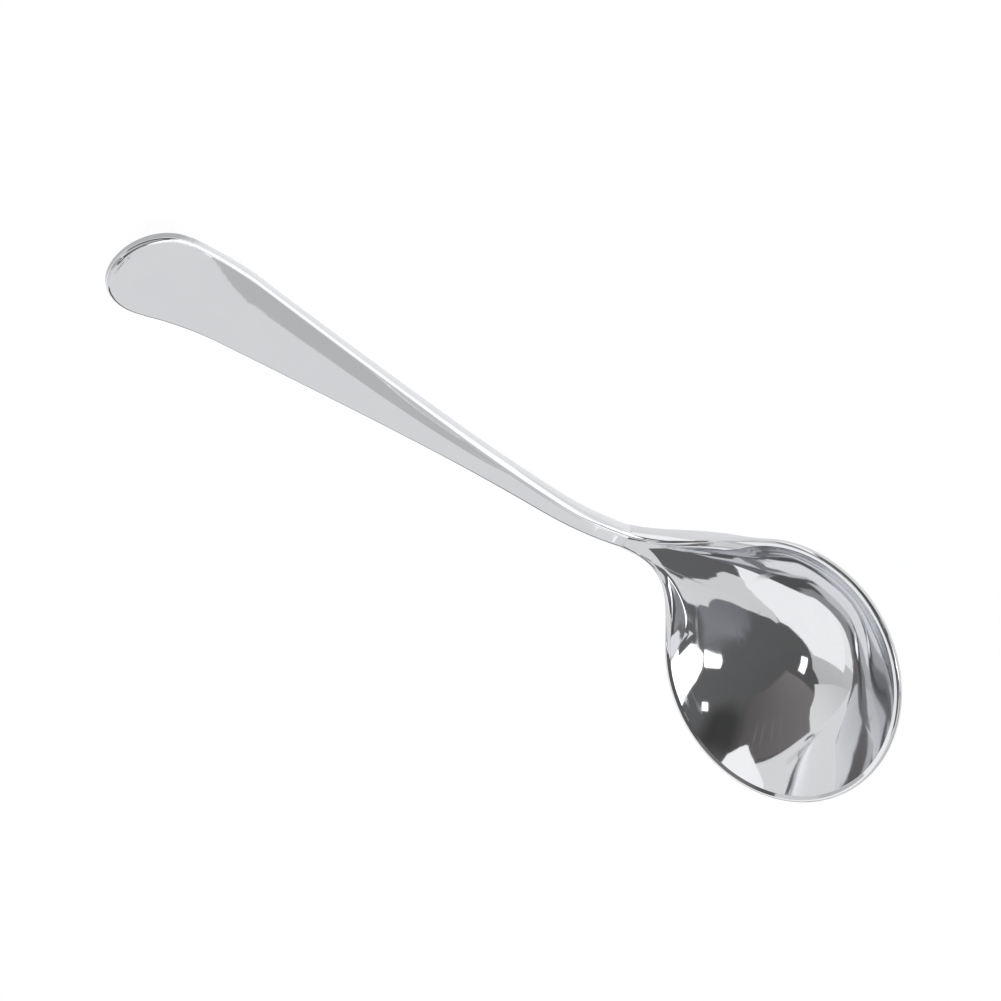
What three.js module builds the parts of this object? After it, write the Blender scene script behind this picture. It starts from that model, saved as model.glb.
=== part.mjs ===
// Cupping spoon: a deep round bowl on a slim neck and a long tapered handle.
// Millimetres, +Z up. The spoon lies face up as it does on a table: the bowl's sole and the
// underside of the handle touch z = 0, +X runs to the handle's end, and the origin is the
// middle of the sole. Shapes are worked out in the rim frame first: its origin is the middle
// of the rim, its x axis points to the handle and its z axis points out of the hollow.
import * as THREE from 'three';
import { mergeVertices } from 'three/addons/utils/BufferGeometryUtils.js';

// Bowl
const bowlLength = 46.1;
const bowlWidth = 48;
const bowlDepth = 13.4;
const wall = 1.2;
const soleDepth = 0.22;

// Lip: the hollow's edge, the crest, the outermost line and the line under the lip.
// Each lies inside the rim oval by its inset and below the rim by its drop.
const edgeInset = 1.15;
const edgeDrop = 0.2;
const crestInset = 0.55;
const sideDrop = 0.5;
const underInset = 0.3;
const underDrop = 1.2;

// Shoulders, where the lip leaves its oval at an angle and runs down and into the neck
const shoulderAngle = 45;
const shoulderPull = 10;
const neckPull = 9;
const neckFlare = 0.7;
const crestDip = 1.5;
const sideDip = 2.7;
const underDip = 2.4;

// Point of the hollow at the neck
const pointAngle = 32;
const pointTurn = 6;
const pointReach = 30.7;
const pointRise = 2.6;
const pointHalfAngle = 33;
const pointPull = 4.8;
const pointFall = 4.15;
const pointDip = 0.75;

// Neck and handle, along the middle line: a bend, a straight run and an upturned tip
const neckReach = 32;
const neckRise = 1.9;
const neckAngle = 49.5;
const neckBend = 19;
const weldLength = 4;
const handleAngle = 23.8;
const straightLength = 79.2;
const tipLength = 25;
const tipRadius = 39.4;

// Bar section of neck and handle
const neckWidth = 3.6;
const neckThickness = 3.2;
const neckEdge = 1.3;
const endRadius = 9.35;
const endThickness = 2.4;
const endEdge = 0.7;
const endCrown = 0.3;
const taperStart = 32.3;
const taperSoftness = 20.5;
const edgeFadeStart = 20;
const edgeFadeEnd = 50;

// Draw of the bowl's middle towards the neck, easing of its walls towards the front, and how
// late the middle turns into the edges at the neck
const drawShare = 0.2;
const drawAngle = 50;
const frontEase = 0.6;
const frontEaseStart = 90;
const frontEaseEnd = 145;
const hollowBlend = 9;
const hollowRise = 9;
const soleBlend = 6;
const soleRise = 7;
const dipRise = 12;
const weldShare = 0.18;

// Fineness of the facets
const rimSteps = 56;
const shoulderSteps = 12;
const hollowRows = 10;
const landRows = 2;
const soleRows = 11;
const crownSteps = 2;
const cornerSteps = 3;
const bodyStations = 34;
const endStations = 8;

const { degToRad, lerp, smoothstep } = THREE.MathUtils;
const steel = { color: 0xc9cacc, roughness: 0.08, metalness: 1 };
const quarter = Math.PI / 2;

// Middle line of neck and handle: place and slope at a length s from the neck's root
function slopeAt(s) {
  const neckTurn = degToRad(neckAngle - handleAngle) * Math.max(0, 1 - s / neckBend);
  const tipTurn = Math.max(0, s - straightLength) / tipRadius;
  return degToRad(handleAngle) + neckTurn + tipTurn;
}

function middleLine(s) {
  const steps = 64;
  const place = new THREE.Vector3(neckReach, 0, neckRise);
  for (let i = 0; i < steps; i += 1) {
    const slope = slopeAt((s * (i + 0.5)) / steps);
    place.x += (Math.cos(slope) * s) / steps;
    place.z += (Math.sin(slope) * s) / steps;
  }
  return place;
}

// Sizes of the bar section at a length s
const handleLength = straightLength + tipLength;
const endCentre = handleLength - endRadius;
const taper = (endRadius - neckWidth / 2) / (endCentre - taperStart);
const taperAngle = Math.atan(taper);

function halfBreadth(s) {
  const past = s - taperStart;
  return neckWidth / 2 + (taper * (past + Math.hypot(past, taperSoftness))) / 2;
}

function halfThickness(s) {
  return lerp(neckThickness, endThickness, s / handleLength) / 2;
}

function widening(s) {
  return smoothstep(s, edgeFadeStart, edgeFadeEnd);
}

function edgeBreadth(s) {
  return lerp(neckEdge, endEdge, widening(s));
}

// Upper (side 1) or lower (side -1) half of a bar section as rows from right to left.
// A row says how far it lies inside the outline, its share of the flat and its height.
function barRows(s, side) {
  const edge = edgeBreadth(s);
  const thick = halfThickness(s);
  const crown = side > 0 ? endCrown * widening(s) : 0;
  const right = [];
  for (let i = 0; i <= cornerSteps; i += 1) {
    const turn = (i / cornerSteps) * quarter;
    const inset = edge * (1 - Math.cos(turn));
    right.push({ inset, share: 1, height: side * (thick - crown) * Math.sin(turn) });
  }
  for (let i = 1; i <= crownSteps; i += 1) {
    const share = 1 - i / crownSteps;
    right.push({ inset: edge, share, height: side * (thick - crown * share * share) });
  }
  const left = right.slice(0, -1).reverse().map((row) => ({ ...row, share: -row.share }));
  return [...right, ...left];
}

// A station is a length on the body, or a turn on the round end
function stationPoint(station, row) {
  const round = endRadius - row.inset;
  const onEnd = station.turn !== undefined;
  const s = onEnd ? endCentre + round * Math.sin(station.turn) : station.s;
  const breadth = onEnd ? round * Math.cos(station.turn) : halfBreadth(s) - row.inset;
  const slope = slopeAt(s);
  const place = middleLine(s);
  place.x -= Math.sin(slope) * row.height;
  place.z += Math.cos(slope) * row.height;
  place.y = row.share * breadth;
  return place;
}

// Lines round the bowl, by the angle v: an oval, then a curve on each side into the neck
const shoulder = degToRad(shoulderAngle);
const pointStart = degToRad(pointAngle);
const weldAngle = shoulder * weldShare;
const weldSlope = slopeAt(weldLength);
const weldCentre = middleLine(weldLength);
const weldBreadth = halfBreadth(weldLength);
const weldThick = halfThickness(weldLength);
const weldFlat = weldBreadth - edgeBreadth(weldLength);
const neckUp = new THREE.Vector3(-Math.sin(weldSlope), 0, Math.cos(weldSlope));
const neckAlong = new THREE.Vector3(Math.cos(weldSlope), 0, Math.sin(weldSlope));

function oval(v, inset, drop) {
  const x = (bowlLength / 2 - inset) * Math.cos(v);
  const y = (bowlWidth / 2 - inset) * Math.sin(v);
  return new THREE.Vector3(x, y, -drop);
}

function alongOval(v, start, reach) {
  const tangent = new THREE.Vector3(bowlLength * Math.sin(v), -bowlWidth * Math.cos(v), 0);
  return start.clone().addScaledVector(tangent.normalize(), reach);
}

function neckLine(inset, drop, breadth, height, dip) {
  const start = oval(shoulder, inset, drop);
  const end = weldCentre.clone().addScaledVector(neckUp, height).setY(breadth);
  const before = end.clone().addScaledVector(neckAlong, -neckPull);
  before.y += neckFlare;
  const curve = new THREE.CubicBezierCurve3(start, alongOval(shoulder, start, shoulderPull), before, end);
  return { inset, drop, breadth, dip, curve };
}

const crestLine = neckLine(crestInset, 0, weldFlat, weldThick, crestDip);
const sideLine = neckLine(0, sideDrop, weldBreadth, 0, sideDip);
const underLine = neckLine(underInset, underDrop, weldFlat, -weldThick, underDip);

const pointEnd = new THREE.Vector3(pointReach, 0, pointRise);
const pointFrom = oval(pointStart, edgeInset, edgeDrop);
const pointBefore = new THREE.Vector3(
  pointReach - pointPull * Math.cos(degToRad(pointHalfAngle)),
  pointPull * Math.sin(degToRad(pointHalfAngle)),
  pointRise - pointFall,
);
const pointCurve = new THREE.CubicBezierCurve3(
  pointFrom,
  alongOval(pointStart, pointFrom, pointTurn),
  pointBefore,
  pointEnd,
);

function bump(along) {
  return 16 * along * along * (1 - along) * (1 - along);
}

function curvePoint(curve, along, v) {
  const point = curve.getPoint(along);
  if (v < 0) point.y = -point.y;
  return point;
}

function shoulderShare(v) {
  return THREE.MathUtils.clamp((shoulder - Math.abs(v)) / (shoulder - weldAngle), 0, 1);
}

function onLine(line, v) {
  const turn = Math.abs(v);
  if (turn >= shoulder) return oval(v, line.inset, line.drop);
  if (turn < weldAngle) return line.curve.getPoint(1).setY((line.breadth * v) / weldAngle);
  const along = shoulderShare(v);
  const point = curvePoint(line.curve, along, v);
  point.z -= line.dip * bump(along);
  return point;
}

function onEdge(v) {
  const turn = Math.abs(v);
  if (turn >= pointStart) return oval(v, edgeInset, edgeDrop);
  const along = 1 - turn / pointStart;
  const point = curvePoint(pointCurve, along, v);
  point.z -= pointDip * bump(along);
  return point;
}

// Direction in which the lip stands up: along z on the rim, square to the bar at the neck
function lipUp(v) {
  const share = 1 - smoothstep(Math.abs(v), weldAngle, shoulder);
  return new THREE.Vector3(-Math.sin(weldSlope * share), 0, Math.cos(weldSlope * share));
}

// Angles of the bowl's rays, once round from the right side of the weld
function rayAngles() {
  const weld = [];
  const side = [];
  const rim = [];
  for (let i = 0; i <= crownSteps * 2; i += 1) weld.push(lerp(weldAngle, -weldAngle, i / (crownSteps * 2)));
  for (let i = 1; i < shoulderSteps; i += 1) side.push(lerp(weldAngle, shoulder, i / shoulderSteps));
  for (let i = 0; i <= rimSteps; i += 1) rim.push(lerp(-shoulder, shoulder - 2 * Math.PI, i / rimSteps));
  const wrapped = rim.map((v) => (v < -Math.PI ? v + 2 * Math.PI : v));
  return [...weld, ...side.map((v) => -v), ...wrapped, ...side.reverse()];
}

// Height of a round cap under its edge, at a share of its radius
function cap(share, radius, depth) {
  const ball = (radius * radius + depth * depth) / (2 * depth);
  return ball - depth - Math.sqrt(ball * ball - share * share * radius * radius);
}

// Point of a round that is drawn out towards the neck, eased at the front and ends in an edge
function drawnOval(v, inset, share, edge, blend) {
  const round = oval(v, inset, 0);
  const turn = Math.min(Math.abs(v) / degToRad(drawAngle), 1) * Math.PI;
  const draw = (drawShare * (1 + Math.cos(turn))) / 2;
  const front = smoothstep(Math.abs(v), degToRad(frontEaseStart), degToRad(frontEaseEnd));
  const ease = frontEase * front * share * share * (1 - share);
  const point = round.clone().multiplyScalar(share * (1 + draw * share - ease));
  const rest = edge.clone().addScaledVector(round, -1 - draw);
  return point.addScaledVector(rest, share ** blend);
}

function hollowPoint(v, share) {
  const edge = onEdge(v);
  const point = drawnOval(v, edgeInset, share, edge, hollowBlend);
  const rise = (edge.z + edgeDrop) * share ** hollowRise;
  point.z = cap(share, bowlWidth / 2 - edgeInset, bowlDepth - edgeDrop) - edgeDrop + rise;
  return point;
}

function lipPoint(v, end, turn) {
  const up = lipUp(v);
  const side = onLine(sideLine, v);
  const offset = onLine(end, v).sub(side);
  const height = up.clone().multiplyScalar(offset.dot(up));
  const inward = offset.clone().sub(height);
  return side.addScaledVector(height, Math.sin(turn)).addScaledVector(inward, 1 - Math.cos(turn));
}

function solePoint(v, share) {
  const edge = onLine(underLine, v);
  const point = drawnOval(v, underInset, share, edge, soleBlend);
  const dip = underDip * bump(shoulderShare(v));
  const rise = (edge.z + dip + underDrop) * share ** soleRise - dip * share ** dipRise;
  const depth = bowlDepth + wall - underDrop;
  point.z = cap(share, bowlWidth / 2 - underInset, depth) - underDrop + rise;
  return point;
}

// Rings of the bowl, from the hollow over the lip to the sole
function bowlRings(angles) {
  const rings = [];
  const ring = (make) => rings.push(angles.map(make));
  const toEdge = (i, rows) => Math.sin((i / rows) * quarter);
  for (let i = 1; i <= hollowRows; i += 1) ring((v) => hollowPoint(v, toEdge(i, hollowRows)));
  for (let i = 1; i < landRows; i += 1) ring((v) => onEdge(v).lerp(onLine(crestLine, v), i / landRows));
  for (let i = cornerSteps; i >= 0; i -= 1) ring((v) => lipPoint(v, crestLine, (i / cornerSteps) * quarter));
  for (let i = 1; i <= cornerSteps; i += 1) ring((v) => lipPoint(v, underLine, (i / cornerSteps) * quarter));
  for (let i = soleRows - 1; i >= 1; i -= 1) ring((v) => solePoint(v, toEdge(i, soleRows)));
  return rings;
}

// Rings of the handle, from the weld face to the round end
function handleRings() {
  const stations = [];
  const bodyEnd = endCentre - endRadius * Math.sin(taperAngle);
  for (let i = 0; i < bodyStations; i += 1) stations.push({ s: lerp(weldLength, bodyEnd, i / bodyStations) });
  for (let i = 0; i <= endStations; i += 1) {
    stations.push({ s: bodyEnd, turn: lerp(-taperAngle, quarter, i / endStations) });
  }
  return stations.map((station) => {
    const over = barRows(station.s, 1);
    const under = barRows(station.s, -1).slice(1, -1).reverse();
    return [...over, ...under].map((row) => stationPoint(station, row));
  });
}

// Closed mesh from rings of points, with a middle point at each end that is not drawn together
function ringMesh(rings, first, last) {
  const count = rings[0].length;
  const points = [...rings.flat(), first, last];
  const firstAt = points.length - 2;
  const lastAt = points.length - 1;
  const index = [];
  for (let j = 0; j < count; j += 1) {
    const k = (j + 1) % count;
    index.push(firstAt, k, j);
    for (let i = 0; i + 1 < rings.length; i += 1) {
      const low = i * count;
      const high = low + count;
      index.push(low + j, low + k, high + k, low + j, high + k, high + j);
    }
    const end = (rings.length - 1) * count;
    index.push(lastAt, end + j, end + k);
  }
  const geometry = new THREE.BufferGeometry().setFromPoints(points);
  geometry.setIndex(index);
  const merged = mergeVertices(geometry, 1e-4);
  const corners = Array.from(merged.getIndex().array);
  const kept = [];
  for (let i = 0; i < corners.length; i += 3) {
    const [a, b, c] = corners.slice(i, i + 3);
    if (a !== b && b !== c && a !== c) kept.push(a, b, c);
  }
  merged.setIndex(kept);
  merged.computeVertexNormals();
  return merged;
}

const bowl = bowlRings(rayAngles());
const hollowMiddle = new THREE.Vector3(0, 0, -bowlDepth);
const soleMiddle = new THREE.Vector3(0, 0, -bowlDepth - wall);
const handle = handleRings();
const handleEnd = handle.at(-1)[0].clone();

// Tilt at which the sole and the handle touch the same table
function lowest(rings, tilt) {
  const up = new THREE.Vector3(-Math.sin(tilt), 0, Math.cos(tilt));
  return Math.min(...rings.flat().map((point) => point.dot(up)));
}

function restTilt() {
  let low = 0;
  let high = degToRad(60);
  for (let i = 0; i < 50; i += 1) {
    const tilt = (low + high) / 2;
    if (lowest(handle, tilt) > lowest(bowl, tilt) + soleDepth) low = tilt;
    else high = tilt;
  }
  return low;
}

const tilt = restTilt();
const tableUp = new THREE.Vector3(-Math.sin(tilt), 0, Math.cos(tilt));
const tableLevel = lowest(bowl, tilt) + soleDepth;

// Sole: the bowl's underside is worn flat where it stands on the table
const footprint = new THREE.Box3();
for (const point of bowl.flat()) {
  const sunk = tableLevel - point.dot(tableUp);
  if (sunk >= 0) {
    point.addScaledVector(tableUp, sunk);
    footprint.expandByPoint(point);
  }
}
const standing = footprint.getCenter(new THREE.Vector3());

function piece(name, geometry) {
  const mesh = new THREE.Mesh(geometry, new THREE.MeshStandardMaterial(steel));
  mesh.name = name;
  return mesh;
}

const lying = new THREE.Group();
lying.rotation.y = tilt;
lying.add(piece('bowl', ringMesh(bowl, hollowMiddle, soleMiddle)));
lying.add(piece('handle', ringMesh(handle, weldCentre, handleEnd)));
lying.position.copy(standing.applyAxisAngle(new THREE.Vector3(0, 1, 0), tilt).negate());

const spoon = new THREE.Group();
spoon.add(lying);

export default spoon;
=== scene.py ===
"""Cupping spoon: a mirror-polished tasting spoon lying face up on a pale table."""

import logging
import math
from dataclasses import dataclass, field
from enum import Enum
from typing import Any

import bpy
import numpy as np
from bpy.types import Material, Node, NodeSocket, NodeTree, Object
from mathutils import Matrix, Vector


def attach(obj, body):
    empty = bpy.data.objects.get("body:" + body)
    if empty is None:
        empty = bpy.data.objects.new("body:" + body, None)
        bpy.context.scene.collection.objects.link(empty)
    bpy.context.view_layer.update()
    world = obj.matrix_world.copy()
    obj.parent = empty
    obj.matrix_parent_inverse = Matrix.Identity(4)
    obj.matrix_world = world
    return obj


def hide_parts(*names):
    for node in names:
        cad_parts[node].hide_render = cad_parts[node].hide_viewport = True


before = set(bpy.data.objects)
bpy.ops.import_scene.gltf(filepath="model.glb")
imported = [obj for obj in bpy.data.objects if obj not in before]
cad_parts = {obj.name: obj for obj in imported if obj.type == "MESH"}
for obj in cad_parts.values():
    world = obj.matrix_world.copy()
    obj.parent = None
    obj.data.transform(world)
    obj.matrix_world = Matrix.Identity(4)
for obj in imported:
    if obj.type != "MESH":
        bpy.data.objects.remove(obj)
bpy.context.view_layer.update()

Array = np.ndarray
LOG = logging.getLogger("cupping_spoon")
MM = 0.001
QUARTER = math.pi / 2
UV_NAME = "steel_mm"
CARD_TONE = "tone"
# Light goes from wall to wall inside the polished hollow many times before it leaves.
MIRROR_BOUNCES = 10


def linear(code: str) -> tuple[float, float, float, float]:
    """Turns an sRGB hex colour into linear values.

    Args:
        code: six hex digits after a hash sign.

    Returns:
        Red, green, blue and an alpha of 1.
    """
    parts = [int(code[i:i + 2], 16) / 255 for i in (1, 3, 5)]
    curve = [p / 12.92 if p <= 0.04045 else ((p + 0.055) / 1.055) ** 2.4 for p in parts]
    return (curve[0], curve[1], curve[2], 1.0)


def node(tree: NodeTree, kind: str, settings: dict[str, Any] | None = None,
         **links: Any) -> Node:
    """Adds one node, sets it and links it.

    Args:
        tree: the node tree that takes the node.
        kind: the node's type name.
        settings: properties of the node, such as an operation.
        links: an input's name with _ for blanks, or i and its number, to a value or to another
            node's output socket.

    Returns:
        The new node.
    """
    made = tree.nodes.new(kind)
    for name, value in (settings or {}).items():
        setattr(made, name, value)
    for name, value in links.items():
        key = int(name[1:]) if name[0] == "i" and name[1:].isdigit() else name.replace("_", " ")
        socket = made.inputs[key]
        if isinstance(value, NodeSocket):
            tree.links.new(value, socket)
        else:
            socket.default_value = value
    return made


def new_material(name: str) -> Material:
    """Makes an empty node material of that name."""
    made = bpy.data.materials.new(name)
    made.use_nodes = True
    made.node_tree.nodes.clear()
    return made


def smoothstep(x: Array, low: float, high: float) -> Array:
    """Eased share of the way from low to high."""
    t = np.clip((x - low) / (high - low), 0, 1)
    return t * t * (3 - 2 * t)


def bump_share(along: Array) -> Array:
    """A smooth hump from 0 to 1 to 0 along a line."""
    return 16 * along ** 2 * (1 - along) ** 2


def lerp(a: Any, b: Any, t: Any) -> Any:
    """Point or value at the share t from a to b."""
    return a + (b - a) * t


def bezier(points: list[Array], t: Array) -> Array:
    """Points on a cubic curve.

    Args:
        points: four control points.
        t: shares along the curve.

    Returns:
        One row of x, y, z per share.
    """
    a, b, c, d = points
    u = 1 - t
    weights = (u ** 3, 3 * u * u * t, 3 * u * t * t, t ** 3)
    return sum(w[:, None] * p for w, p in zip(weights, (a, b, c, d)))


class Polish(Enum):
    """How a piece was buffed. The value is the breadth of its wheel lines over their length."""

    ROUND_THE_BOWL = 0.03
    ALONG_THE_BAR = 0.012


@dataclass(frozen=True)
class MirrorSteel:
    """18/10 stainless steel, pressed or forged and then buffed to a mirror.

    It gives the eye clear reflections a little darker than what they show, with a faint haze of
    wheel lines, a soft waviness of the pressed sheet and hairline marks from use.
    """

    name: str
    polish: Polish
    colour: str = "#e8e9eb"
    worn_colour: str = "#e1e2e5"
    roughness: float = 0.03
    haze: float = 0.05
    haze_span: tuple[float, float] = (0.1, 0.5)
    # Real wheel lines are about 0.02 mm apart, drawn coarser so that a picture can hold them.
    wheel_line_mm: float = 0.2
    wheel_line_height_mm: float = 0.00025
    wheel_line_strength: float = 0.3
    wheel_line_grain: tuple[float, float] = (3.0, 0.6)
    wave_mm: float = 9.0
    wave_height_mm: float = 0.004
    wave_grain: tuple[float, float] = (4.0, 0.55)
    mark_mm: float = 1.6
    mark_haze: float = 0.12
    mark_slants: tuple[float, ...] = (25.0, -50.0)
    mark_stretch: float = 0.06
    mark_span: tuple[float, float] = (0.7, 0.76)

    def make(self) -> Material:
        """Builds the steel's node material.

        Returns:
            The material.
        """
        made = new_material(self.name)
        tree = made.node_tree
        uv = node(tree, "ShaderNodeUVMap", {"uv_map": UV_NAME}).outputs["UV"]
        lines_at = node(tree, "ShaderNodeMapping", Vector=uv,
                        Scale=(self.polish.value, 1.0, 1.0)).outputs[0]
        lines = node(tree, "ShaderNodeTexNoise", Vector=lines_at, Scale=1 / self.wheel_line_mm,
                     Detail=self.wheel_line_grain[0], Roughness=self.wheel_line_grain[1]).outputs["Fac"]
        smear = node(tree, "ShaderNodeTexNoise", Vector=uv, Scale=1 / self.wave_mm,
                     Detail=self.wave_grain[0], Roughness=self.wave_grain[1]).outputs["Fac"]
        haze = node(tree, "ShaderNodeMath", {"operation": "MULTIPLY"}, i0=lines, i1=smear).outputs[0]
        buffed = node(tree, "ShaderNodeMapRange", Value=haze, From_Min=self.haze_span[0],
                      From_Max=self.haze_span[1], To_Min=self.roughness,
                      To_Max=self.roughness + self.haze).outputs[0]
        rough = node(tree, "ShaderNodeMath", {"operation": "ADD"}, i0=buffed,
                     i1=self.marks(tree, uv)).outputs[0]
        tone = node(tree, "ShaderNodeMix", {"data_type": "RGBA"}, i0=smear,
                    i6=linear(self.worn_colour), i7=linear(self.colour)).outputs[2]
        wave = node(tree, "ShaderNodeBump", Strength=1.0, Distance=self.wave_height_mm * MM,
                    Height=smear).outputs[0]
        fine = node(tree, "ShaderNodeBump", Strength=self.wheel_line_strength,
                    Distance=self.wheel_line_height_mm * MM, Height=lines, Normal=wave).outputs[0]
        steel = node(tree, "ShaderNodeBsdfPrincipled", Base_Color=tone, Metallic=1.0,
                     Roughness=rough, Normal=fine).outputs[0]
        node(tree, "ShaderNodeOutputMaterial", Surface=steel)
        return made

    def marks(self, tree: NodeTree, uv: NodeSocket) -> NodeSocket:
        """Adds the hairline marks that use leaves, in two slants across the wheel lines.

        Args:
            tree: the material's tree.
            uv: place on the steel in mm.

        Returns:
            How much rougher the steel is on a mark.
        """
        total: NodeSocket | float = 0.0
        for slant in self.mark_slants:
            at = node(tree, "ShaderNodeMapping", Vector=uv, Rotation=(0, 0, math.radians(slant)),
                      Scale=(self.mark_stretch, 1.0, 1.0)).outputs[0]
            hair = node(tree, "ShaderNodeTexNoise", Vector=at, Scale=1 / self.mark_mm,
                        Detail=1.0).outputs["Fac"]
            mark = node(tree, "ShaderNodeMapRange", Value=hair, From_Min=self.mark_span[0],
                        From_Max=self.mark_span[1], To_Max=self.mark_haze).outputs[0]
            total = node(tree, "ShaderNodeMath", {"operation": "ADD"}, i0=total, i1=mark).outputs[0]
        return total


@dataclass
class NeckLine:
    """Middle line and bar section of neck and handle, in mm in the rim's own frame."""

    neck_reach: float = 32.0
    neck_rise: float = 1.9
    neck_angle: float = math.radians(49.5)
    neck_bend: float = 19.0
    weld_length: float = 4.0
    handle_angle: float = math.radians(23.8)
    straight_length: float = 79.2
    tip_length: float = 25.0
    tip_radius: float = 39.4
    neck_width: float = 3.6
    neck_thickness: float = 3.2
    neck_edge: float = 1.3
    end_radius: float = 9.35
    end_thickness: float = 2.4
    end_edge: float = 0.7
    end_crown: float = 0.3
    taper_start: float = 32.3
    taper_softness: float = 20.5
    edge_fade: tuple[float, float] = (20.0, 50.0)
    corner_steps: int = 8
    crown_steps: int = 10
    bend_steps: int = 64
    normal_reach: float = 0.2

    @property
    def length(self) -> float:
        """Length of the middle line from the neck's root to the handle's end."""
        return self.straight_length + self.tip_length

    @property
    def end_centre(self) -> float:
        """Length at which the round end has its centre."""
        return self.length - self.end_radius

    @property
    def taper(self) -> float:
        """How much the half breadth grows per length."""
        return (self.end_radius - self.neck_width / 2) / (self.end_centre - self.taper_start)

    def slope(self, s: Array) -> Array:
        """Slope of the middle line over the rim, in radians."""
        neck = (self.neck_angle - self.handle_angle) * np.maximum(0, 1 - s / self.neck_bend)
        return self.handle_angle + neck + np.maximum(0, s - self.straight_length) / self.tip_radius

    def middle(self, s: Array) -> Array:
        """Places on the middle line.

        Args:
            s: lengths from the neck's root.

        Returns:
            One row of x, y, z per length.
        """
        share = (np.arange(self.bend_steps) + 0.5) / self.bend_steps
        slope = self.slope(s[:, None] * share[None, :])
        x = self.neck_reach + np.cos(slope).mean(axis=1) * s
        z = self.neck_rise + np.sin(slope).mean(axis=1) * s
        return np.stack([x, np.zeros_like(x), z], axis=1)

    def half_breadth(self, s: Array) -> Array:
        """Half of the bar's breadth."""
        past = s - self.taper_start
        return self.neck_width / 2 + self.taper * (past + np.hypot(past, self.taper_softness)) / 2

    def half_thickness(self, s: Array) -> Array:
        """Half of the bar's thickness."""
        return lerp(self.neck_thickness, self.end_thickness, s / self.length) / 2

    def edge(self, s: Array) -> Array:
        """Breadth of the bar's rounded edge."""
        return lerp(self.neck_edge, self.end_edge, smoothstep(s, *self.edge_fade))

    def crown(self, s: Array) -> Array:
        """Rise of the face's middle over its sides."""
        return self.end_crown * smoothstep(s, *self.edge_fade)

    def ring(self, s: float, turn: float | None = None) -> Array:
        """Closed section ring, from the right side over the face to the left and back below.

        Args:
            s: length of the station.
            turn: angle round the handle's end, where the station is on it.

        Returns:
            One row of x, y, z per point.
        """
        here = np.array([s])
        edge = self.edge(here)[0]
        thick = self.half_thickness(here)[0]
        corner = np.linspace(0, QUARTER, self.corner_steps + 1)
        flat = 1 - np.arange(1, self.crown_steps + 1) / self.crown_steps
        inset = np.concatenate([edge * (1 - np.cos(corner)), np.full(self.crown_steps, edge)])
        share = np.concatenate([np.ones(self.corner_steps + 1), flat])
        halves = []
        for side, crown in ((1, self.crown(here)[0]), (-1, 0.0)):
            height = np.concatenate([(thick - crown) * np.sin(corner), thick - crown * flat ** 2])
            full_inset = np.concatenate([inset, inset[-2::-1]])
            full_share = np.concatenate([share, -share[-2::-1]])
            full_height = side * np.concatenate([height, height[-2::-1]])
            halves.append((full_inset, full_share, full_height))
        over, under = halves
        rows = [np.concatenate([o, u[-2:0:-1]]) for o, u in zip(over, under)]
        return self.station(s, turn, *rows)

    def station(self, s: float, turn: float | None, inset: Array, share: Array,
                height: Array) -> Array:
        """Points of one station from its rows.

        Args:
            s: length of the station.
            turn: angle round the handle's end, or None on the body.
            inset: how far each row lies inside the outline.
            share: each row's share of the breadth, from 1 to -1.
            height: each row's height over the middle line.

        Returns:
            One row of x, y, z per point.
        """
        round_part = self.end_radius - inset
        if turn is None:
            along = np.full_like(inset, s)
            breadth = self.half_breadth(along) - inset
        else:
            along = self.end_centre + round_part * math.sin(turn)
            breadth = round_part * math.cos(turn)
        slope = self.slope(along)
        points = self.middle(along)
        points[:, 0] -= np.sin(slope) * height
        points[:, 2] += np.cos(slope) * height
        points[:, 1] = share * breadth
        return points

    def ring_normals(self, s: float) -> Array:
        """Outward normals of a body ring, from its neighbours along and around the bar."""
        along = self.ring(s + self.normal_reach) - self.ring(s - self.normal_reach)
        here = self.ring(s)
        around = np.roll(here, -1, axis=0) - np.roll(here, 1, axis=0)
        normals = np.cross(around, along)
        return normals / np.linalg.norm(normals, axis=1)[:, None]


@dataclass
class Rest:
    """How the spoon lies: its tilt and the middle of the sole."""

    tilt: float
    middle: Array

    def lay(self, points: Array) -> Array:
        """Turns points from the rim's frame to the table's and puts the sole's middle at 0."""
        return self.turn_only(points - self.middle)

    def turn_only(self, vectors: Array) -> Array:
        """Turns directions from the rim's frame to the table's."""
        c, s = math.cos(self.tilt), math.sin(self.tilt)
        return vectors @ np.array([[c, 0, s], [0, 1, 0], [-s, 0, c]]).T


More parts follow.
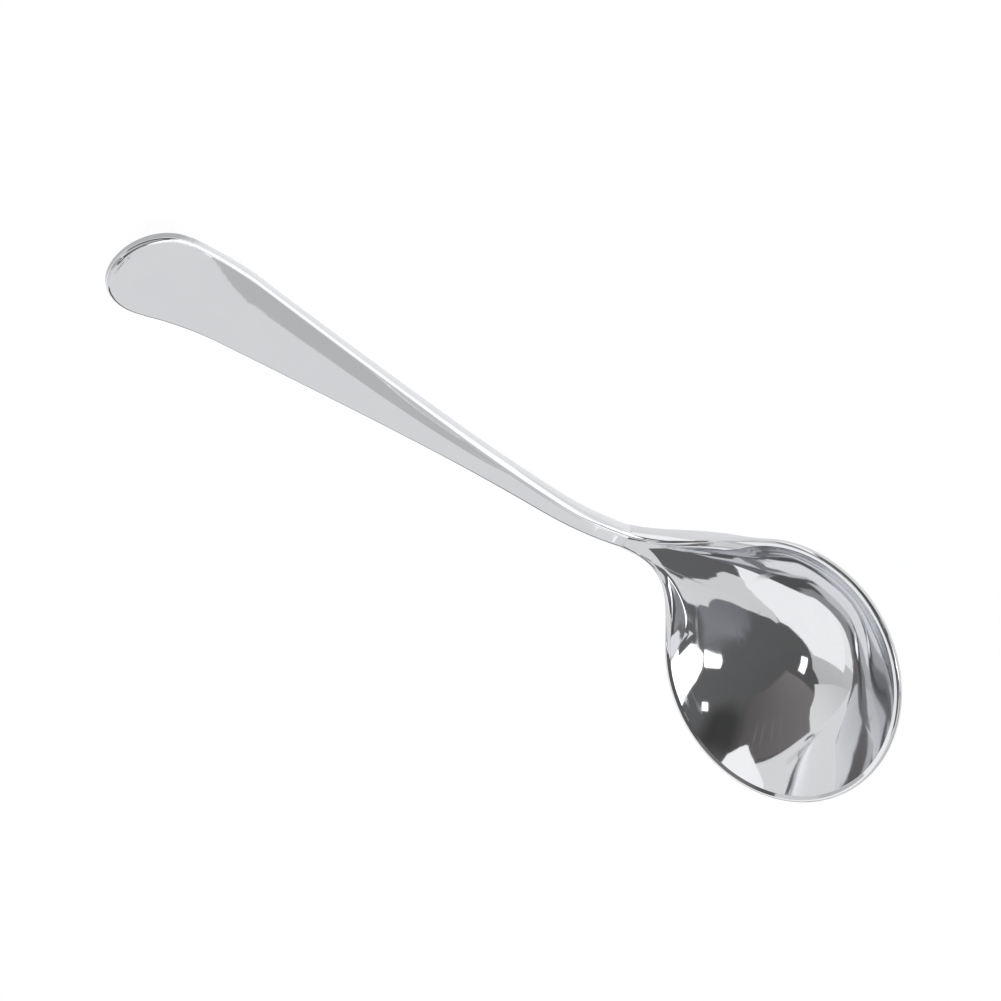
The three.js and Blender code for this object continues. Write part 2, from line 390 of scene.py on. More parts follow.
@dataclass
class Shell:
    """Points, faces, steel coordinates in mm and fixed normals of one piece before it is a mesh."""

    points: Array
    faces: list[tuple[int, ...]]
    uv: Array
    fixed: dict[int, Array] = field(default_factory=dict)

    def normals(self) -> Array:
        """Smooth normals from the faces, with the fixed ones put in.

        Returns:
            One unit vector per point.
        """
        total = np.zeros_like(self.points)
        for size in (3, 4):
            group = np.array([f for f in self.faces if len(f) == size], dtype=int)
            if not len(group):
                continue
            p = self.points[group]
            cross = np.cross(p[:, size // 2] - p[:, 0], p[:, size - 1] - p[:, size - 3])
            for k in range(size):
                np.add.at(total, group[:, k], cross)
        for at, normal in self.fixed.items():
            total[at] = normal
        return total / np.maximum(np.linalg.norm(total, axis=1), 1e-12)[:, None]

    def to_object(self, name: str, rest: Rest) -> Object:
        """Makes the mesh object, lying on the table.

        Args:
            name: name of the piece.
            rest: how the spoon lies.

        Returns:
            The object, in metres.
        """
        mesh = bpy.data.meshes.new(name)
        mesh.from_pydata((rest.lay(self.points) * MM).tolist(), [], self.faces)
        mesh.polygons.foreach_set("use_smooth", [True] * len(mesh.polygons))
        layer = mesh.uv_layers.new(name=UV_NAME)
        loops = np.empty(len(mesh.loops), dtype=int)
        mesh.loops.foreach_get("vertex_index", loops)
        layer.data.foreach_set("uv", self.uv[loops].ravel())
        mesh.normals_split_custom_set_from_vertices(rest.turn_only(self.normals()).tolist())
        made = bpy.data.objects.new(name, mesh)
        bpy.context.collection.objects.link(made)
        return made


@dataclass
class Handle:
    """Forged handle bar: slim neck, long taper, flat face and a round upturned end."""

    line: NeckLine
    body_stations: int = 220
    end_stations: int = 40
    finish: MirrorSteel = MirrorSteel("stainless_steel_forged_mirror_buffed", Polish.ALONG_THE_BAR,
                                      "#cfd0d2", "#c9cacd")

    def shell(self) -> Shell:
        """Works out the handle's points and faces.

        Returns:
            The handle's shell in the rim's frame.
        """
        line = self.line
        angle = math.atan(line.taper)
        body_end = line.end_centre - line.end_radius * math.sin(angle)
        lengths = np.linspace(line.weld_length, body_end, self.body_stations, endpoint=False)
        turns = np.linspace(-angle, QUARTER, self.end_stations + 1)
        rings = [line.ring(s) for s in lengths] + [line.ring(body_end, t) for t in turns]
        count = len(rings[0])
        points = np.concatenate(rings)
        faces = []
        for i in range(len(rings) - 1):
            for j in range(count):
                k = (j + 1) % count
                low, high = i * count, (i + 1) * count
                faces.append((low + j, low + k, high + k, high + j))
        half = count // 2
        last = (len(rings) - 1) * count
        # The last ring is flat in the middle plane, so its left points are its right ones again.
        partner = {last + j: last + half - j for j in range(half // 2 + 1, half + 1)}
        partner.update({last + j: last + 3 * half - j for j in range(half + 1, half + half // 2)})
        faces = [tuple(dict.fromkeys(partner.get(at, at) for at in face)) for face in faces]
        run = np.concatenate([np.full(count, s) for s in lengths]
                             + [np.full(count, body_end + line.end_radius * (t + angle)) for t in turns])
        uv = np.stack([run, points[:, 1]], axis=1)
        fixed = dict(enumerate(line.ring_normals(line.weld_length)))
        first = len(points)
        slope = line.slope(np.array([line.weld_length]))[0]
        back = np.array([-math.cos(slope), 0, -math.sin(slope)])
        points = np.concatenate([points, rings[0]])
        uv = np.concatenate([uv, uv[:count]])
        fixed.update({first + j: back for j in range(count)})
        for j in range(1, half):
            a, b = first + j, first + (count - j) % count
            c, d = first + j - 1, first + (count - j + 1) % count
            faces.append((a, c, b) if c == d else (a, c, d, b))
        a, b, c = first + half - 1, first + half, first + half + 1
        faces.append((b, a, c))
        return Shell(points, faces, uv, fixed)

    def build(self, rest: Rest) -> Object:
        """Makes the handle piece.

        Args:
            rest: how the spoon lies.

        Returns:
            The handle object.
        """
        piece = self.shell().to_object("handle_bar", rest)
        self.dress(piece)
        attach(piece, "root")
        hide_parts("handle")
        return piece

    def dress(self, piece: Object) -> None:
        """Puts the steel on the handle."""
        piece.data.materials.append(self.finish.make())


@dataclass
class RimLine:
    """One line round the bowl: an oval that runs into the neck on both sides.

    Inset and drop place the oval and dip lowers the line on the shoulders. Level says where it
    meets the bar: 1 on its face, 0 at its side and -1 below.
    """

    inset: float
    drop: float
    dip: float
    level: int


@dataclass
class Bowl:
    """Pressed bowl: a deep round hollow, a flat lip and shoulders drawn out into the neck."""

    line: NeckLine
    length: float = 46.1
    width: float = 48.0
    depth: float = 13.4
    wall: float = 1.2
    sole_depth: float = 0.22
    edge_inset: float = 1.15
    edge_drop: float = 0.2
    crest: RimLine = field(default_factory=lambda: RimLine(0.55, 0.0, 1.5, 1))
    side: RimLine = field(default_factory=lambda: RimLine(0.0, 0.5, 2.7, 0))
    under: RimLine = field(default_factory=lambda: RimLine(0.3, 1.2, 2.4, -1))
    shoulder: float = math.radians(45)
    shoulder_pull: float = 10.0
    neck_pull: float = 9.0
    neck_flare: float = 0.7
    point_angle: float = math.radians(32)
    point_turn: float = 6.0
    point_reach: float = 30.7
    point_rise: float = 2.6
    point_half_angle: float = math.radians(33)
    point_pull: float = 4.8
    point_fall: float = 4.15
    point_dip: float = 0.75
    draw_share: float = 0.2
    draw_angle: float = math.radians(50)
    front_ease: float = 0.6
    front_start: float = math.radians(90)
    front_end: float = math.radians(145)
    hollow_blend: float = 9.0
    hollow_rise: float = 9.0
    sole_blend: float = 6.0
    sole_rise: float = 7.0
    dip_rise: float = 12.0
    weld_share: float = 0.18
    rim_steps: int = 260
    shoulder_steps: int = 64
    hollow_rows: int = 72
    land_rows: int = 8
    sole_rows: int = 56
    row_ease: float = 1.5
    land_run: float = 1.0
    lip_run: float = 2.0
    steepest: float = math.radians(60)
    halvings: int = 50
    finish: MirrorSteel = MirrorSteel("stainless_steel_pressed_mirror_buffed", Polish.ROUND_THE_BOWL)

    @property
    def weld_angle(self) -> float:
        """Angle at which the lines reach the weld."""
        return self.shoulder * self.weld_share

    def angles(self) -> Array:
        """Angles of the rays, once round from the right side of the weld."""
        weld = np.linspace(self.weld_angle, -self.weld_angle, 2 * self.line.crown_steps + 1)
        side = np.linspace(self.weld_angle, self.shoulder, self.shoulder_steps + 1)[1:-1]
        rim = np.linspace(-self.shoulder, self.shoulder - 2 * math.pi, self.rim_steps + 1)
        rim = np.where(rim < -math.pi, rim + 2 * math.pi, rim)
        return np.concatenate([weld, -side, rim, side[::-1]])

    def oval(self, v: Array, inset: float, drop: float) -> Array:
        """Points on an oval inside the rim's outline and below it."""
        x = (self.length / 2 - inset) * np.cos(v)
        y = (self.width / 2 - inset) * np.sin(v)
        return np.stack([x, y, np.full_like(x, -drop)], axis=1)

    def oval_tangent(self, v: float) -> Array:
        """Unit direction along the oval towards the neck."""
        t = np.array([self.length * math.sin(v), -self.width * math.cos(v), 0.0])
        return t / np.linalg.norm(t)

    def shoulder_share(self, v: Array) -> Array:
        """Share of the way from the shoulder's start to the weld."""
        return np.clip((self.shoulder - np.abs(v)) / (self.shoulder - self.weld_angle), 0, 1)

    def on_line(self, rim: RimLine, v: Array) -> Array:
        """Points of a rim line.

        Args:
            rim: the crest, the side or the line under the lip.
            v: angles of the rays.

        Returns:
            One row of x, y, z per angle.
        """
        weld = np.array([self.line.weld_length])
        slope = self.line.slope(weld)[0]
        centre = self.line.middle(weld)[0]
        breadth = self.line.half_breadth(weld)[0]
        flat = breadth - self.line.edge(weld)[0]
        thick = self.line.half_thickness(weld)[0]
        reach = flat if rim.level else breadth
        end = centre + rim.level * thick * np.array([-math.sin(slope), 0, math.cos(slope)]) + [0, reach, 0]
        start = self.oval(np.array([self.shoulder]), rim.inset, rim.drop)[0]
        before = end - self.neck_pull * np.array([math.cos(slope), 0, math.sin(slope)])
        before = before + [0, self.neck_flare, 0]
        leave = start + self.shoulder_pull * self.oval_tangent(self.shoulder)
        along = self.shoulder_share(v)
        drawn = bezier([start, leave, before, end], along)
        drawn[:, 2] -= rim.dip * bump_share(along)
        drawn[:, 1] *= np.sign(v)
        at_weld = np.abs(v) < self.weld_angle
        drawn[at_weld] = end
        drawn[at_weld, 1] = reach * v[at_weld] / self.weld_angle
        on_oval = np.abs(v) >= self.shoulder
        return np.where(on_oval[:, None], self.oval(v, rim.inset, rim.drop), drawn)

    def on_edge(self, v: Array) -> Array:
        """Points of the hollow's edge, which runs to a point at the neck."""
        start = self.oval(np.array([self.point_angle]), self.edge_inset, self.edge_drop)[0]
        leave = start + self.point_turn * self.oval_tangent(self.point_angle)
        end = np.array([self.point_reach, 0, self.point_rise])
        before = end + [-self.point_pull * math.cos(self.point_half_angle),
                        self.point_pull * math.sin(self.point_half_angle), -self.point_fall]
        along = np.clip(1 - np.abs(v) / self.point_angle, 0, 1)
        drawn = bezier([start, leave, before, end], along)
        drawn[:, 2] -= self.point_dip * bump_share(along)
        drawn[:, 1] *= np.where(v < 0, -1, 1)
        on_oval = np.abs(v) >= self.point_angle
        return np.where(on_oval[:, None], self.oval(v, self.edge_inset, self.edge_drop), drawn)

    @staticmethod
    def cap(share: float, radius: float, depth: float) -> float:
        """Height of a round cap under its edge, at a share of its radius."""
        ball = (radius ** 2 + depth ** 2) / (2 * depth)
        return ball - depth - math.sqrt(ball ** 2 - (share * radius) ** 2)

    def drawn_oval(self, v: Array, inset: float, share: float, edge: Array,
                   blend: float) -> Array:
        """Ring that is drawn out towards the neck and meets an edge.

        Args:
            v: angles of the rays.
            inset: how far the oval lies inside the rim's outline.
            share: share of the way from the middle to the edge.
            edge: points of the edge.
            blend: how late the ring turns from the drawn oval to the edge.

        Returns:
            One row of x, y, z per angle.
        """
        oval = self.oval(v, inset, 0)
        pull = self.draw_share * (1 + np.cos(np.minimum(np.abs(v) / self.draw_angle, 1) * math.pi)) / 2
        ease = self.front_ease * smoothstep(np.abs(v), self.front_start, self.front_end)
        ring = share * oval * (1 + pull * share - ease * share ** 2 * (1 - share))[:, None]
        return ring + (edge - oval * (1 + pull)[:, None]) * share ** blend

    def hollow(self, v: Array, share: float) -> Array:
        """Ring of the hollow at a share of the way from its middle to its edge."""
        edge = self.on_edge(v)
        ring = self.drawn_oval(v, self.edge_inset, share, edge, self.hollow_blend)
        low = self.cap(share, self.width / 2 - self.edge_inset, self.depth - self.edge_drop)
        ring[:, 2] = low - self.edge_drop + (edge[:, 2] + self.edge_drop) * share ** self.hollow_rise
        return ring

    def lip(self, v: Array, end: RimLine, turn: float) -> Array:
        """Ring of the rounded lip between the side line and the crest or the line below."""
        weld = self.line.slope(np.array([self.line.weld_length]))[0]
        lean = weld * (1 - smoothstep(np.abs(v), self.weld_angle, self.shoulder))
        up = np.stack([-np.sin(lean), np.zeros_like(lean), np.cos(lean)], axis=1)
        side = self.on_line(self.side, v)
        offset = self.on_line(end, v) - side
        height = up * np.sum(offset * up, axis=1)[:, None]
        return side + height * math.sin(turn) + (offset - height) * (1 - math.cos(turn))

    def sole(self, v: Array, share: float) -> Array:
        """Ring of the underside at a share of the way from its middle to the lip."""
        edge = self.on_line(self.under, v)
        ring = self.drawn_oval(v, self.under.inset, share, edge, self.sole_blend)
        dip = self.under.dip * bump_share(self.shoulder_share(v))
        rise = (edge[:, 2] + dip + self.under.drop) * share ** self.sole_rise
        rise = rise - dip * share ** self.dip_rise
        low = self.cap(share, self.width / 2 - self.under.inset, self.depth + self.wall - self.under.drop)
        ring[:, 2] = low - self.under.drop + rise
        return ring

    def shell(self) -> Shell:
        """Works out the bowl's points and faces.

        Returns:
            The bowl's shell in the rim's frame.
        """
        v = self.angles()
        corner = self.line.corner_steps
        half = self.width / 2
        side_run = half + self.land_run + self.lip_run / 2
        sole_run = side_run + self.lip_run / 2 + half
        shares = 1 - (1 - np.arange(1, self.hollow_rows + 1) / self.hollow_rows) ** self.row_ease
        rings = [self.hollow(v, float(s)) for s in shares]
        run = [float(s) * half for s in shares]
        edge, crest = self.on_edge(v), self.on_line(self.crest, v)
        for i in range(1, self.land_rows):
            t = smoothstep(np.array(i / self.land_rows), 0, 1)
            rings.append(lerp(edge, crest, t))
            run.append(half + self.land_run * float(t))
        crest_row = len(rings)
        for i in range(corner, -1, -1):
            rings.append(self.lip(v, self.crest, i / corner * QUARTER))
            run.append(side_run - self.lip_run / 2 * i / corner)
        for i in range(1, corner + 1):
            rings.append(self.lip(v, self.under, i / corner * QUARTER))
            run.append(side_run + self.lip_run / 2 * i / corner)
        under_row = len(rings) - 1
        for share in 1 - (np.arange(1, self.sole_rows) / self.sole_rows) ** self.row_ease:
            rings.append(self.sole(v, float(share)))
            run.append(sole_run - float(share) * half)
        count = len(v)
        weld_rays = 2 * self.line.crown_steps
        points = np.concatenate(rings + [[[0, 0, -self.depth]], [[0, 0, -self.depth - self.wall]]])
        first, last = len(points) - 2, len(points) - 1
        faces: list[tuple[int, ...]] = []
        cap_faces: list[tuple[int, ...]] = []
        for j in range(count):
            k = (j + 1) % count
            faces.append((first, k, j))
            for i in range(len(rings) - 1):
                low, high = i * count, (i + 1) * count
                quad = (low + j, low + k, high + k, high + j)
                at_weld = j < weld_rays and crest_row <= i < under_row
                (cap_faces if at_weld else faces).append(quad)
            end = (len(rings) - 1) * count
            faces.append((last, end + j, end + k))
        around = np.unwrap(np.where(v > 0, v, v + 2 * math.pi))
        uv = np.stack([np.tile(around * half, len(rings)), np.repeat(run, count)], axis=1)
        uv = np.concatenate([uv, [[0, 0], [0, sole_run]]])
        fixed = self.weld_normals(crest_row, count)
        twin = {}
        extra = []
        for quad in cap_faces:
            for at in quad:
                if at not in twin:
                    twin[at] = len(points) + len(extra)
                    extra.append(at)
        slope = self.line.slope(np.array([self.line.weld_length]))[0]
        ahead = np.array([math.cos(slope), 0, math.sin(slope)])
        fixed.update({at: ahead for at in twin.values()})
        faces += [tuple(twin[at] for at in quad) for quad in cap_faces]
        points, uv = np.concatenate([points, points[extra]]), np.concatenate([uv, uv[extra]])
        return Shell(points, faces, uv, fixed)

    def weld_normals(self, crest_row: int, count: int) -> dict[int, Array]:
        """Normals of the bar at the weld, for the bowl's points that meet it.

        Args:
            crest_row: number of the ring on the crest.
            count: points in a ring.

        Returns:
            Point number to normal.
        """
        bar = self.line.ring_normals(self.line.weld_length)
        corner, rays = self.line.corner_steps, 2 * self.line.crown_steps
        half = 2 * corner + rays
        under_row = crest_row + 2 * corner
        fixed = {}
        for j in range(rays + 1):
            fixed[crest_row * count + j] = bar[corner + j]
            fixed[under_row * count + j] = bar[2 * half - corner - j]
        for i in range(corner + 1):
            over, below = crest_row + corner - i, crest_row + corner + i
            fixed[over * count] = bar[i]
            fixed[over * count + rays] = bar[half - i]
            fixed[below * count] = bar[(2 * half - i) % (2 * half)]
            fixed[below * count + rays] = bar[half + i]
        return fixed

    def build(self, shell: Shell, rest: Rest) -> Object:
        """Makes the bowl piece.

        Args:
            shell: the bowl's points and faces.
            rest: how the spoon lies.

        Returns:
            The bowl object.
        """
        piece = shell.to_object("bowl_shell", rest)
        self.dress(piece)
        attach(piece, "root")
        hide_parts("bowl")
        return piece

    def dress(self, piece: Object) -> None:
        """Puts the steel on the bowl."""
        piece.data.materials.append(self.finish.make())

    def settle(self, shell: Shell, handle: Array) -> Rest:
        """Finds how the spoon lies and wears the bowl's sole flat.

        Args:
            shell: the bowl's shell, whose lowest points are moved.
            handle: the handle's points.

        Returns:
            The spoon's tilt and the middle of the sole.
        """
        def lowest(points: Array, tilt: float) -> float:
            """Lowest height of some points at a tilt."""
            return float(np.min(points[:, 2] * math.cos(tilt) - points[:, 0] * math.sin(tilt)))

        low, high = 0.0, self.steepest
        for _ in range(self.halvings):
            tilt = (low + high) / 2
            if lowest(handle, tilt) > lowest(shell.points, tilt) + self.sole_depth:
                low = tilt
            else:
                high = tilt
        up = np.array([-math.sin(low), 0, math.cos(low)])
        level = lowest(shell.points, low) + self.sole_depth
        sunk = level - shell.points @ up
        flat = sunk >= 0
        shell.points[flat] += sunk[flat, None] * up
        foot = shell.points[flat]
        middle = (foot.min(axis=0) + foot.max(axis=0)) / 2
        middle = middle + up * (level - middle @ up)
        return Rest(low, middle)


@dataclass(frozen=True)
class Card:
    """One lit or dark card of the studio, as a strip seen from the spoon.

    Stations hold an azimuth, a low and a high elevation in degrees. Azimuth 0 lies beyond the
    handle and 90 on the far side. Glow 1 is white, at the first and at the last station. Soft is
    the share of the card in which its edges fade. Distance and middle, in metres, say where it
    hangs. A deep card shows only in light that has gone from wall to wall in the hollow.
    """

    name: str
    stations: tuple[tuple[float, float, float], ...]
    glow: tuple[float, float]
    tint: str = "#ffffff"
    soft: float = 0.0
    distance: float = 2.4
    middle: tuple[float, float, float] = (0.0, 0.0, 0.0)
    deep: bool = False
    columns: int = 72
    rows: int = 24

    def build(self, paint: Material) -> Object:
        """Makes the card, which only polished faces see.

        Args:
            paint: the glowing material that reads the card's own tone.

        Returns:
            The card object, marked as stage.
        """
        turns, lows, highs = (np.array(line, float) for line in zip(*self.stations))
        across, rise = (g.ravel() for g in np.meshgrid(np.linspace(0, 1, self.columns + 1),
                                                       np.linspace(0, 1, self.rows + 1)))
        turn = lerp(turns[0], turns[-1], across)
        points = self.place(turn, lerp(np.interp(turn, turns, lows), np.interp(turn, turns, highs), rise))
        row = self.columns + 1
        faces = [(i * row + j, i * row + j + 1, (i + 1) * row + j + 1, (i + 1) * row + j)
                 for i in range(self.rows) for j in range(self.columns)]
        cover = np.ones(len(points))
        if self.soft > 0:
            for share in (across, rise):
                cover *= smoothstep(np.minimum(share, 1 - share), 0, self.soft)
        tone = np.outer(lerp(*self.glow, self.glow_share(points, across)), linear(self.tint)[:3])
        mesh = bpy.data.meshes.new(self.name)
        mesh.from_pydata(points.tolist(), [], faces)
        layer = mesh.color_attributes.new(CARD_TONE, "FLOAT_COLOR", "POINT")
        layer.data.foreach_set("color", np.column_stack([tone, cover]).ravel())
        mesh.materials.append(paint)
        made = bpy.data.objects.new(self.name, mesh)
        made.visible_camera = made.visible_diffuse = made.visible_shadow = False
        bpy.context.collection.objects.link(made)
        return made

    def place(self, along: Array, height: Array) -> Array:
        """Turns stations and elevations into places in metres round the card's middle."""
        turn, rise = np.radians(along), np.radians(height)
        out = np.stack([np.cos(rise) * np.cos(turn), np.cos(rise) * np.sin(turn), np.sin(rise)], axis=1)
        return out * self.distance + self.middle

    def glow_share(self, points: Array, across: Array) -> Array:
        """Share of the way from the first glow to the last, here along the stations."""
        return across


class RoomCard(Card):
    """The dim room all round the table, which goes from its first glow to its last beyond the bowl."""

    def glow_share(self, points: Array, across: Array) -> Array:
        """Share of the way from beyond the handle to beyond the bowl."""
        return (1 - points[:, 0] / self.distance) / 2


class StandingCard(Card):
    """A card that stands near by on the far side, with x, low and high heights in mm."""

    def place(self, along: Array, height: Array) -> Array:
        """Turns stations and heights into places in metres on the card's upright plane."""
        return np.stack([along * MM, np.full_like(along, self.distance), height * MM], axis=1)


class LyingCard(Card):
    """A card that lies on the table, with x, low and high y in mm."""

    def place(self, along: Array, height: Array) -> Array:
        """Turns stations into places in metres just over the table."""
        return np.stack([along * MM, height * MM, np.full_like(along, self.distance)], axis=1)


@dataclass(frozen=True)
class Lamp:
    """A soft rectangular lamp, in metres. At a radiance of 1 its face is white."""

    name: str
    place: tuple[float, float, float]
    aim: tuple[float, float, float]
    size: tuple[float, float]
    radiance: float

    def build(self) -> Object:
        """Hangs the lamp.

        Returns:
            The lamp object.
        """
        data = bpy.data.lights.new(self.name, "AREA")
        data.shape = "RECTANGLE"
        data.size, data.size_y = self.size
        data.energy = self.radiance * math.pi * self.size[0] * self.size[1]
        made = bpy.data.objects.new(self.name, data)
        made.location = self.place
        facing = Vector(self.aim) - Vector(self.place)
        made.rotation_euler = facing.to_track_quat("-Z", "Y").to_euler()
        bpy.context.collection.objects.link(made)
        return made


@dataclass
class Studio:
    """Pale table, light screens and the dim room that the hollow shows."""

    floor_size: float = 8.0
    floor_colour: str = "#f2f2f2"
    floor_glow: float = 0.68
    floor_gloss: float = 0.5
    backdrop_colour: str = "#ffffff"
    backdrop_glow: float = 1.0
    room_light: float = 0.3
    # A ray that has met the steel once has a depth of 1, and one that has met it twice of 2.
    deep_from: float = 1.5
    cards: tuple[Card, ...] = (
        RoomCard("dim_room", ((0, -2.865, 90), (360, -2.865, 90)), (0.1, 0.15), distance=2.6),
        Card("far_screen", (
            (44, 2, 50), (60, 2, 55), (74, 2, 62), (83, 2, 60), (88, 18, 58), (93, 22, 56), (101, 22, 51),
            (108, 26, 47), (112, 33, 40)), (0.95, 1.12)),
        Card("upper_screen", (
            (74, 63, 65), (83, 60, 66), (93, 56, 69), (101, 51, 69.5), (108, 47, 70), (112, 40, 70.5),
            (119, 40, 70), (131, 50, 68), (150, 54, 66), (170, 54, 66), (187, 47, 65), (196, 42, 57),
            (200, 38, 55), (204, 36, 42)), (0.72, 0.8)),
        StandingCard("tip_card", (
            (-35, 45, 110), (-14, 38, 140), (20, 38, 160), (80, 44, 152), (96, 48, 148)), (1.05, 1.05),
            distance=0.09),
        LyingCard("grey_mat", ((107, -26, 10), (165, -48, 34)), (0.68, 0.8), soft=0.12, distance=0.001),
        Card("neck_screen", (
            (108, -1, 4), (116, -1, 8), (122, -1, 19), (127, 2, 27), (130, 4, 31), (133, 6, 35),
            (137, 8, 37), (142, 10, 39), (150, 14, 43), (160, 18, 45.5), (175, 22, 46), (196, 28, 45)),
            (0.8, 0.8), distance=0.23, middle=(0.0185, 0.0, 0.0048)),
        Card("root_screen", (
            (244, 16, 34), (250, 10, 38), (258, 4, 44), (267, -2, 47), (275, -6, 46), (286, -6, 38),
            (299, -6, 28), (310, -6, 18), (322, -6, 8)), (1.1, 1.1), distance=0.03,
            middle=(0.017, -0.0025, 0.0042)),
        Card("side_screen", ((10, -10, 10), (12, -8, 26), (25, -6, 44), (44, -4, 50)), (0.52, 0.62)),
        Card("leaning_board", (
            (357, -10, 10), (359, -11, 18), (366, -11, 26), (373, -10, 35), (384, -6, 20), (392, -4, 2)),
            (0.84, 0.64), distance=2.3),
        Card("window", (
            (196, 16, 22), (203, 17, 30), (207.5, 18, 32.5), (209.5, 18, 42), (214, 18, 47.5),
            (222, 19, 53), (228, 20, 49), (234, 21, 43), (239, 21, 30), (242, 22, 23)), (2.0, 2.0)),
        Card("skylight", ((221, 54, 54.5), (226, 52, 60), (231, 56, 66), (239, 61.5, 62)), (2.0, 2.0)),
        Card("ceiling_lamp", (
            (254, 35.5, 36.5), (258, 31, 38), (259, 31.5, 38), (263, 32.5, 33.5)), (2.0, 2.0)),
        Card("wall_lamp", ((14, 48, 54), (33, 50, 55)), (1.8, 1.8), distance=2.3),
        Card("lit_ceiling", ((96, 58, 89), (236, 48, 89)), (0.2, 0.29), "#f6f6ff", soft=0.2, distance=2.5),
        Card("room_wall", (
            (294, 1, 49), (313, 1, 57), (340, -1, 62), (363, -3, 63), (367, 0, 52), (369, 8, 42)),
            (0.11, 0.22), "#fff9f8", soft=0.04),
        *(Card(f"wall_panel_{turn}", ((turn, 4, 34), (turn + 3, 4, 38)), (0.2, 0.2), "#fff4f0", soft=0.5,
               distance=2.3) for turn in (311, 318, 327, 334, 342)),
        Card("second_wall", (
            (297, 26, 49), (320, 28, 52), (334, 31, 54), (350, 28, 52), (362, 25, 46)), (1.05, 0.7),
            soft=0.05, distance=2.2, deep=True),
        Card("second_base", ((336, 11, 17), (350, 11, 19), (362, 12, 21)), (0.55, 0.62), soft=0.1,
             distance=2.2, deep=True),
        Card("second_band", ((2, 17, 22), (9, 18, 32), (17, 20, 43), (24, 31, 45)), (0.24, 0.28), soft=0.1,
             distance=2.1, deep=True),
        Card("second_window", ((268, 47, 56), (300, 50, 56.5), (330, 52, 56)), (1.15, 1.15), soft=0.08,
             distance=2.2, deep=True),
        Card("second_ceiling", ((290, 56, 80), (330, 56, 80), (378, 60, 82), (392, 60, 82)), (0.4, 0.36),
             soft=0.08, distance=2.25, deep=True),
        Card("second_corner", ((22, 48, 72), (68, 58, 72)), (0.75, 0.75), soft=0.1, distance=2.2,
             deep=True),
        Card("second_shade", ((92, 26, 60), (120, 28, 72)), (0.32, 0.25), soft=0.06, distance=2.2,
             deep=True),
        Card("doorway", ((258, -4, 42), (280, -4, 54), (304, -4, 48)), (0.05, 0.06), soft=0.35,
             distance=2.3),
    )
    soft_box: Lamp = Lamp("soft_box", (0.1, 0.3, 1.6), (0.04, 0, 0), (1.4, 1.4), 0.35)
    handle_lamps: tuple[Lamp, ...] = (
        Lamp("near_lamp", (-0.2, -0.62, 0.51), (0.06, 0, 0.01), (0.52, 1.24), 1.5),
        Lamp("top_lamp", (-0.24, 0.03, 0.8), (-0.24, 0.03, 0), (1.0, 0.56), 0.72),
        Lamp("end_lamp", (0.85, -0.52, 0.76), (0.115, 0, 0.76), (2.1, 0.86), 0.55),
        Lamp("neck_lamp", (-0.44, 0.65, 0.58), (0.03, 0, 0.01), (0.16, 0.6), 0.95),
        Lamp("weld_lamp", (-0.66, 0.42, 0.58), (0.03, 0, 0.01), (0.485, 0.6), 0.9),
        Lamp("table_lamp", (0.05, 0, 0.0002), (0.05, 0, 1), (1.6, 1.6), 0.4),
    )

    def build(self, handle: Object) -> None:
        """Makes the floor, the world, the cards and the lamps.

        Args:
            handle: the piece that has lamps of its own.
        """
        self.floor()
        self.world()
        paint, deep_paint = self.card_paint(False), self.card_paint(True)
        for card in self.cards:
            card.build(deep_paint if card.deep else paint)
        self.lamps(handle)

    def card_paint(self, deep: bool) -> Material:
        """Makes the glowing paper of the cards, in each card's own tone.

        Args:
            deep: whether only light that has gone from wall to wall in the hollow shows it.

        Returns:
            The material.
        """
        paint = new_material("glowing_card_deep" if deep else "glowing_card")
        tree = paint.node_tree
        tone = node(tree, "ShaderNodeAttribute", {"attribute_name": CARD_TONE}).outputs
        cover = tone["Alpha"]
        if deep:
            depth = node(tree, "ShaderNodeLightPath").outputs["Ray Depth"]
            second = node(tree, "ShaderNodeMath", {"operation": "GREATER_THAN"}, i0=depth,
                          i1=self.deep_from).outputs[0]
            cover = node(tree, "ShaderNodeMath", {"operation": "MULTIPLY"}, i0=cover, i1=second).outputs[0]
        glow = node(tree, "ShaderNodeEmission", Color=tone["Color"]).outputs[0]
        clear = node(tree, "ShaderNodeBsdfTransparent").outputs[0]
        shown = node(tree, "ShaderNodeMixShader", i0=cover, i1=clear, i2=glow).outputs[0]
        node(tree, "ShaderNodeOutputMaterial", Surface=shown)
        paint.cycles.emission_sampling = "NONE"
        return paint

    def floor(self) -> None:
        """Lays the pale table top."""
        half = self.floor_size / 2
        mesh = bpy.data.meshes.new("table_top")
        mesh.from_pydata([(-half, -half, 0), (half, -half, 0), (half, half, 0), (-half, half, 0)],
                         [], [(0, 1, 2, 3)])
        made = bpy.data.objects.new("table_top", mesh)
        bpy.context.collection.objects.link(made)
        paint = new_material("matt_white_laminate")
        tree = paint.node_tree
        path = node(tree, "ShaderNodeLightPath").outputs
        seen = node(tree, "ShaderNodeMath", {"operation": "MULTIPLY"}, i0=path["Is Camera Ray"],
                    i1=self.floor_glow).outputs[0]
        strength = node(tree, "ShaderNodeMath", {"operation": "MULTIPLY_ADD"}, i0=path["Is Glossy Ray"],
                        i1=self.floor_gloss, i2=seen).outputs[0]
        lit = node(tree, "ShaderNodeBsdfDiffuse", Color=linear(self.floor_colour)).outputs[0]
        glow = node(tree, "ShaderNodeEmission", Strength=strength).outputs[0]
        both = node(tree, "ShaderNodeAddShader", i0=lit, i1=glow).outputs[0]
        node(tree, "ShaderNodeOutputMaterial", Surface=both)
        paint.cycles.emission_sampling = "NONE"
        mesh.materials.append(paint)

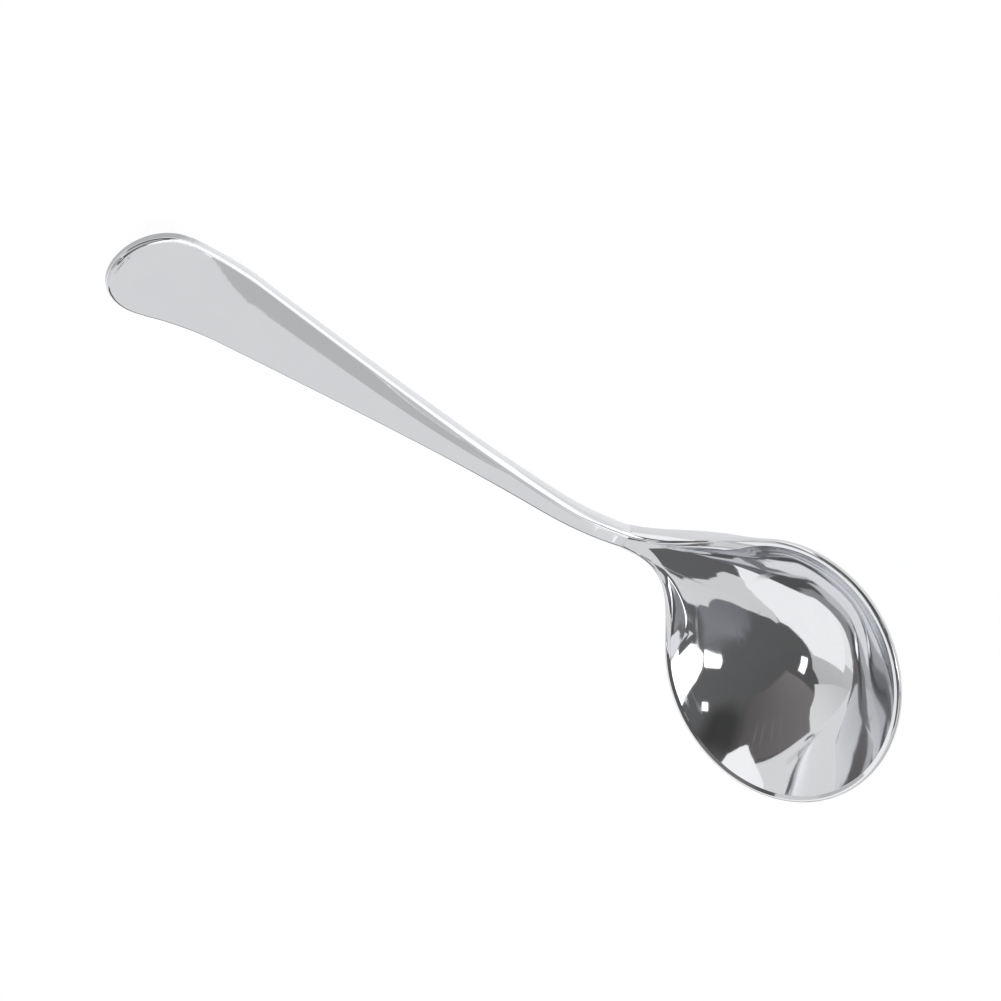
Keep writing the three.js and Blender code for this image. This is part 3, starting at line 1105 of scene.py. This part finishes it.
    def world(self) -> None:
        """Sets the even light of the studio and its white backdrop."""
        world = bpy.data.worlds.new("white_backdrop")
        bpy.context.scene.world = world
        world.use_nodes = True
        tree = world.node_tree
        tree.nodes.clear()
        path = node(tree, "ShaderNodeLightPath").outputs
        shown = node(tree, "ShaderNodeMath", {"operation": "MAXIMUM"}, i0=path["Is Camera Ray"],
                     i1=path["Is Glossy Ray"]).outputs[0]
        strength = node(tree, "ShaderNodeMapRange", Value=shown, To_Min=self.room_light,
                        To_Max=self.backdrop_glow).outputs[0]
        sky = node(tree, "ShaderNodeBackground", Color=linear(self.backdrop_colour),
                   Strength=strength).outputs[0]
        node(tree, "ShaderNodeOutputWorld", Surface=sky)

    def lamps(self, handle: Object) -> None:
        """Hangs the large lamp that draws the table's faint shadow, and the handle's own lamps.

        Args:
            handle: the piece whose edges and neck its own lamps keep light.
        """
        self.soft_box.build().visible_glossy = False
        lit = bpy.data.collections.new("lit_by_handle_lamps")
        lit.objects.link(handle)
        for lamp in self.handle_lamps:
            made = lamp.build()
            made.light_linking.receiver_collection = lit
            made.visible_camera = made.visible_diffuse = False


@dataclass
class Viewpoint:
    """The camera, as angles and a distance round the middle of the bowl's rim."""

    elevation: float = math.radians(51.51392852)
    azimuth: float = math.radians(254.22430426)
    roll: float = math.radians(-121.63346311)
    yaw: float = math.radians(1.8762585)
    pitch: float = math.radians(-1.149467)
    distance: float = 1440.0
    lens: float = 307.37
    sensor: float = 36.0
    clip: tuple[float, float] = (0.05, 20.0)

    def build(self, rest: Rest) -> Object:
        """Sets up the camera.

        Args:
            rest: how the spoon lies, to turn the camera with it.

        Returns:
            The camera object.
        """
        place = Vector((math.cos(self.elevation) * math.cos(self.azimuth),
                        math.cos(self.elevation) * math.sin(self.azimuth),
                        math.sin(self.elevation)))
        ahead = -place
        right = ahead.cross(Vector((0, 0, 1))).normalized()
        up = right.cross(ahead)
        rows = Matrix((right, -up, ahead))
        aim = Matrix.Rotation(self.yaw, 3, "Y") @ Matrix.Rotation(self.pitch, 3, "X")
        rows = aim @ Matrix.Rotation(self.roll, 3, "Z") @ rows
        axes = rest.turn_only(np.array([rows[0], -rows[1], -rows[2]]))
        at = rest.lay(np.array([place * self.distance]))[0] * MM
        data = bpy.data.cameras.new("photograph_view")
        data.sensor_width = self.sensor
        data.lens = self.lens
        data.clip_start, data.clip_end = self.clip
        made = bpy.data.objects.new("photograph_view", data)
        made.matrix_world = Matrix.Translation(Vector(at)) @ Matrix(axes.T.tolist()).to_4x4()
        bpy.context.collection.objects.link(made)
        bpy.context.scene.camera = made
        return made


def main() -> None:
    """Builds the spoon, its studio and the camera, and notes the sizes."""
    logging.basicConfig(level=logging.INFO, format="%(message)s")
    bpy.context.scene.view_settings.view_transform = "Standard"
    bpy.context.scene.cycles.glossy_bounces = MIRROR_BOUNCES
    line = NeckLine()
    bowl, handle = Bowl(line), Handle(line)
    shell = bowl.shell()
    rest = bowl.settle(shell, handle.shell().points)
    pieces = (bowl.build(shell, rest), handle.build(rest))
    for piece in pieces:
        LOG.info("piece %s: %d faces", piece.name, len(piece.data.polygons))
    Studio().build(pieces[1])
    Viewpoint().build(rest)


if __name__ == "__main__":
    main()
